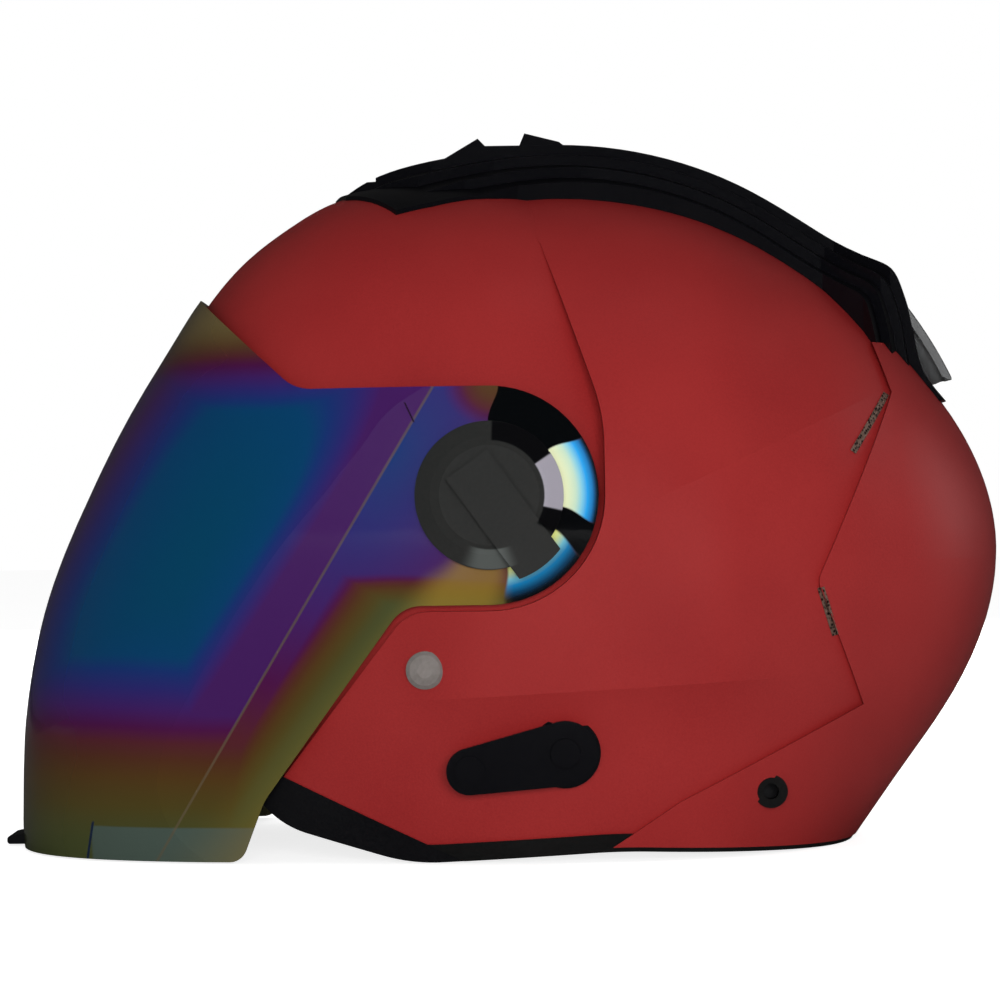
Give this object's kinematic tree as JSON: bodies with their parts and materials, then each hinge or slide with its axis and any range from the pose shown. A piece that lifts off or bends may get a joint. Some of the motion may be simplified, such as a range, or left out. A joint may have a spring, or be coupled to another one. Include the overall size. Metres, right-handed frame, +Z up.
{
  "type": "motorcycle helmet",
  "caption": "Open-face motorcycle helmet with a red shell, black crown vent fairing, long hinged bubble visor, inner sun visor and a buckled chin strap.",
  "frame": {"origin": "centre of the bounding box in plan, on the plane that the lower rim stands on", "axes": "-X is the way the wearer looks, +X points to the back of the head, -Y is the wearer's left side, +Z is up"},
  "size_m": [0.3471, 0.2498, 0.2461],
  "materials": {
    "red_shell": "matte red paint on a moulded plastic shell",
    "black_rubber": "soft black edge rubber",
    "black_plastic": "moulded black plastic",
    "black_gloss": "glossy black plastic",
    "cover_gloss": "dark grey-black gloss plastic",
    "black_foam": "black painted polystyrene foam",
    "black_fabric": "brushed black lining cloth over foam",
    "iridium_visor": "rainbow mirror coating on clear polycarbonate",
    "smoke_lens": "smoke tinted polycarbonate",
    "steel": "zinc plated steel",
    "chrome": "chromed steel",
    "webbing": "woven black polyester webbing"
  },
  "bodies": {
    "helmet": {"outer_shell": "red_shell", "face_edge_trim": "black_rubber", "rim_edge_trim": "black_rubber", "lower_trim_left": "black_plastic", "lower_trim_right": "black_plastic", "eps_liner": "black_foam", "crown_liner": "black_fabric", "neck_roll": "black_fabric", "cheek_pad_left": "black_fabric", "cheek_pad_right": "black_fabric", "cheek_block_left": "black_foam", "cheek_block_right": "black_foam", "crown_fairing": "black_gloss", "rear_exhaust_lip": "smoke_lens", "front_vent_grille": "black_plastic", "rear_vent_grille": "black_plastic", "pivot_base_left": "black_plastic", "pivot_base_right": "black_plastic", "pivot_screws_left": "steel", "pivot_screws_right": "steel", "pivot_cover_left": "cover_gloss", "pivot_cover_right": "cover_gloss", "sun_visor_pins": "steel", "sun_lever_base": "black_plastic", "sun_lever_cap": "black_plastic", "strap_rivets": "chrome", "chin_strap_left": "webbing", "chin_strap_right": "webbing", "strap_hangers": "steel", "buckle_body": "steel", "buckle_pin": "steel", "buckle_tongue": "black_plastic", "chin_pad": "black_fabric", "rim_grommets": "black_rubber"},
    "visor_unit": {"visor": "iridium_visor", "visor_lift_tab": "black_plastic"},
    "left_release": {"release_lever_left": "cover_gloss"},
    "right_release": {"release_lever_right": "cover_gloss"},
    "sun_lens": {"sun_visor": "smoke_lens"},
    "sun_control": {"sun_visor_lever": "black_gloss"},
    "vent_shutter": {"crown_vent_slider": "black_plastic"},
    "buckle_flap": {"buckle_lever": "black_plastic"}
  },
  "joints": [
    {"name": "visor_hinge", "type": "hinge", "parent": "helmet", "child": "visor_unit", "pos_m": [-0.003, 0, 0.12], "axis": [0, 1, 0], "range_deg": [0, 45]},
    {"name": "left_release_turn", "type": "hinge", "parent": "helmet", "child": "left_release", "pos_m": [-0.003, -0.1236, 0.12], "axis": [0, 1, 0], "range_deg": [0, 60]},
    {"name": "right_release_turn", "type": "hinge", "parent": "helmet", "child": "right_release", "pos_m": [-0.003, 0.1236, 0.12], "axis": [0, 1, 0], "range_deg": [0, 60]},
    {"name": "sun_visor_swing", "type": "hinge", "parent": "helmet", "child": "sun_lens", "pos_m": [-0.003, 0, 0.12], "axis": [0, -1, 0], "range_deg": [0, 45]},
    {"name": "sun_lever_turn", "type": "hinge", "parent": "helmet", "child": "sun_control", "pos_m": [0.0204, -0.1199, 0.0364], "axis": [0, -1, 0], "range_deg": [0, 40.5]},
    {"name": "vent_slide", "type": "slide", "parent": "helmet", "child": "vent_shutter", "axis": [1, 0, 0], "range_m": [0, 0.003]},
    {"name": "buckle_flap_turn", "type": "hinge", "parent": "helmet", "child": "buckle_flap", "pos_m": [-0.0246, -0.015, 0.0182], "axis": [1, 0, 0], "range_deg": [0, 35], "stiffness_Nm_per_rad": 0.02, "springref_deg": -17.19}
  ],
  "couplings": [
    {"joint": "sun_lever_turn", "follows": "sun_visor_swing", "ratio": 0.9}
  ]
}
